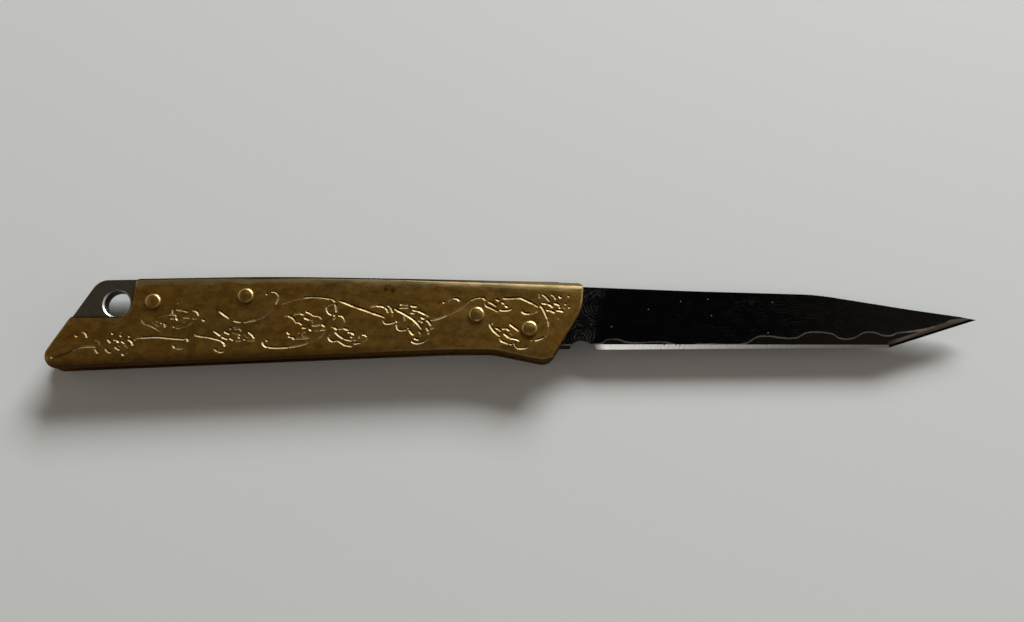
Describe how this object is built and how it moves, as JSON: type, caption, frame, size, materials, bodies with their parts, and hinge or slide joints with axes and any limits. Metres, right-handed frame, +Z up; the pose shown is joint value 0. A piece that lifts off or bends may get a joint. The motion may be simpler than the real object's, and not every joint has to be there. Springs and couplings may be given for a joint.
{
  "type": "folding pocket knife",
  "caption": "Folding pocket knife, drawn open: engraved brass scales on a steel back spring with a lanyard hole, and a dark pattern-welded blade that folds on a pivot.",
  "frame": {"origin": "bottom centre of the bounding box, in the surface the knife lies on with the blade drawn open", "axes": "+X from the tail of the handle to the blade's tip, +Y towards the back of handle and blade, +Z up out of the front scale"},
  "size_m": [0.1912, 0.019, 0.0072],
  "materials": {
    "brass_scale": "aged, engraved",
    "spring_steel": "satin, darkened",
    "pattern_steel": "etched pattern-welded faces, polished bevel",
    "bronze": "turned",
    "brass_pin": "peened",
    "brass_rosette": "domed, aged"
  },
  "bodies": {
    "handle": {"scale_front": "brass_scale", "scale_rear": "brass_scale", "backspring": "spring_steel", "pivot_bush": "bronze", "washer_front": "bronze", "washer_rear": "bronze", "pivot_pin": "brass_pin", "stop_pin": "brass_pin", "stop_sleeve": "spring_steel", "middle_pin": "brass_pin", "tail_pin": "brass_pin", "rosette_pivot_front": "brass_rosette", "rosette_pivot_rear": "brass_rosette", "rosette_stop_front": "brass_rosette", "rosette_stop_rear": "brass_rosette", "rosette_middle_front": "brass_rosette", "rosette_middle_rear": "brass_rosette", "rosette_tail_front": "brass_rosette", "rosette_tail_rear": "brass_rosette"},
    "blade": {"blade": "pattern_steel"}
  },
  "joints": [
    {"name": "blade_pivot", "type": "hinge", "parent": "handle", "child": "blade", "pos_m": [0.003, -0.00155, 0.00358], "axis": [0, 0, -1], "range_deg": [0, 178.5], "deforming": ["backspring"]}
  ]
}
